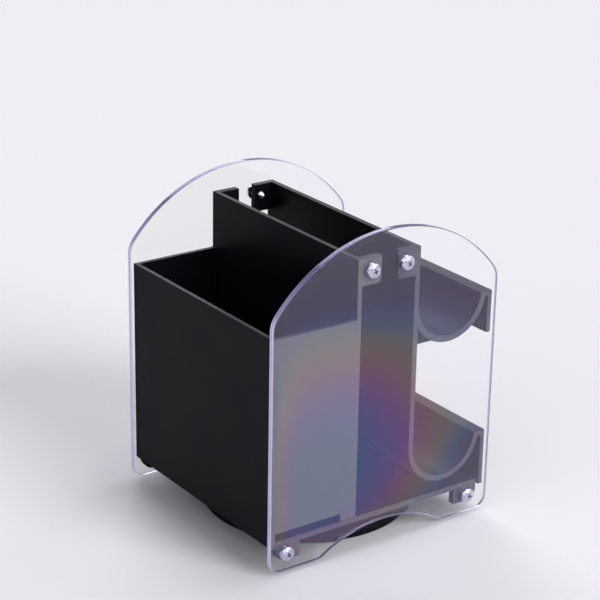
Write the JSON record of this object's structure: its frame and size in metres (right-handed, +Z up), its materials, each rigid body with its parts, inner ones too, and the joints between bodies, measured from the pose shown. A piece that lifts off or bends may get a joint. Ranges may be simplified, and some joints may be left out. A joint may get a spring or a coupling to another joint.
{
  "type": "revolving pen holder",
  "caption": "Revolving desk pen holder: black memo bin, tall pen space and rear trays between clear arched side panels on a turntable disc.",
  "frame": {"origin": "on the desk, on the swivel axis, under the middle of the holder", "axes": "+Z up along the swivel axis, -Y towards the memo bin's face, X from side panel to side panel"},
  "size_m": [0.1042, 0.104, 0.128],
  "materials": {
    "black_moulding": "satin",
    "clear_panel": "gloss",
    "bright_screw": "polished",
    "white_nylon": "matte",
    "rubber_pad": "matte"
  },
  "bodies": {
    "turntable": {"turntable_disc": "black_moulding", "glide_ring": "white_nylon", "foot_pads": "rubber_pad"},
    "holder": {"base_plate": "black_moulding", "memo_bin": "black_moulding", "rear_trays": "black_moulding", "left_panel": "clear_panel", "right_panel": "clear_panel", "panel_screws": "bright_screw", "swivel_screw": "bright_screw", "swivel_washer": "bright_screw"}
  },
  "joints": [
    {"name": "swivel", "type": "hinge", "parent": "turntable", "child": "holder", "pos_m": [0, 0, 0.0094], "axis": [0, 0, 1], "continuous": true}
  ]
}
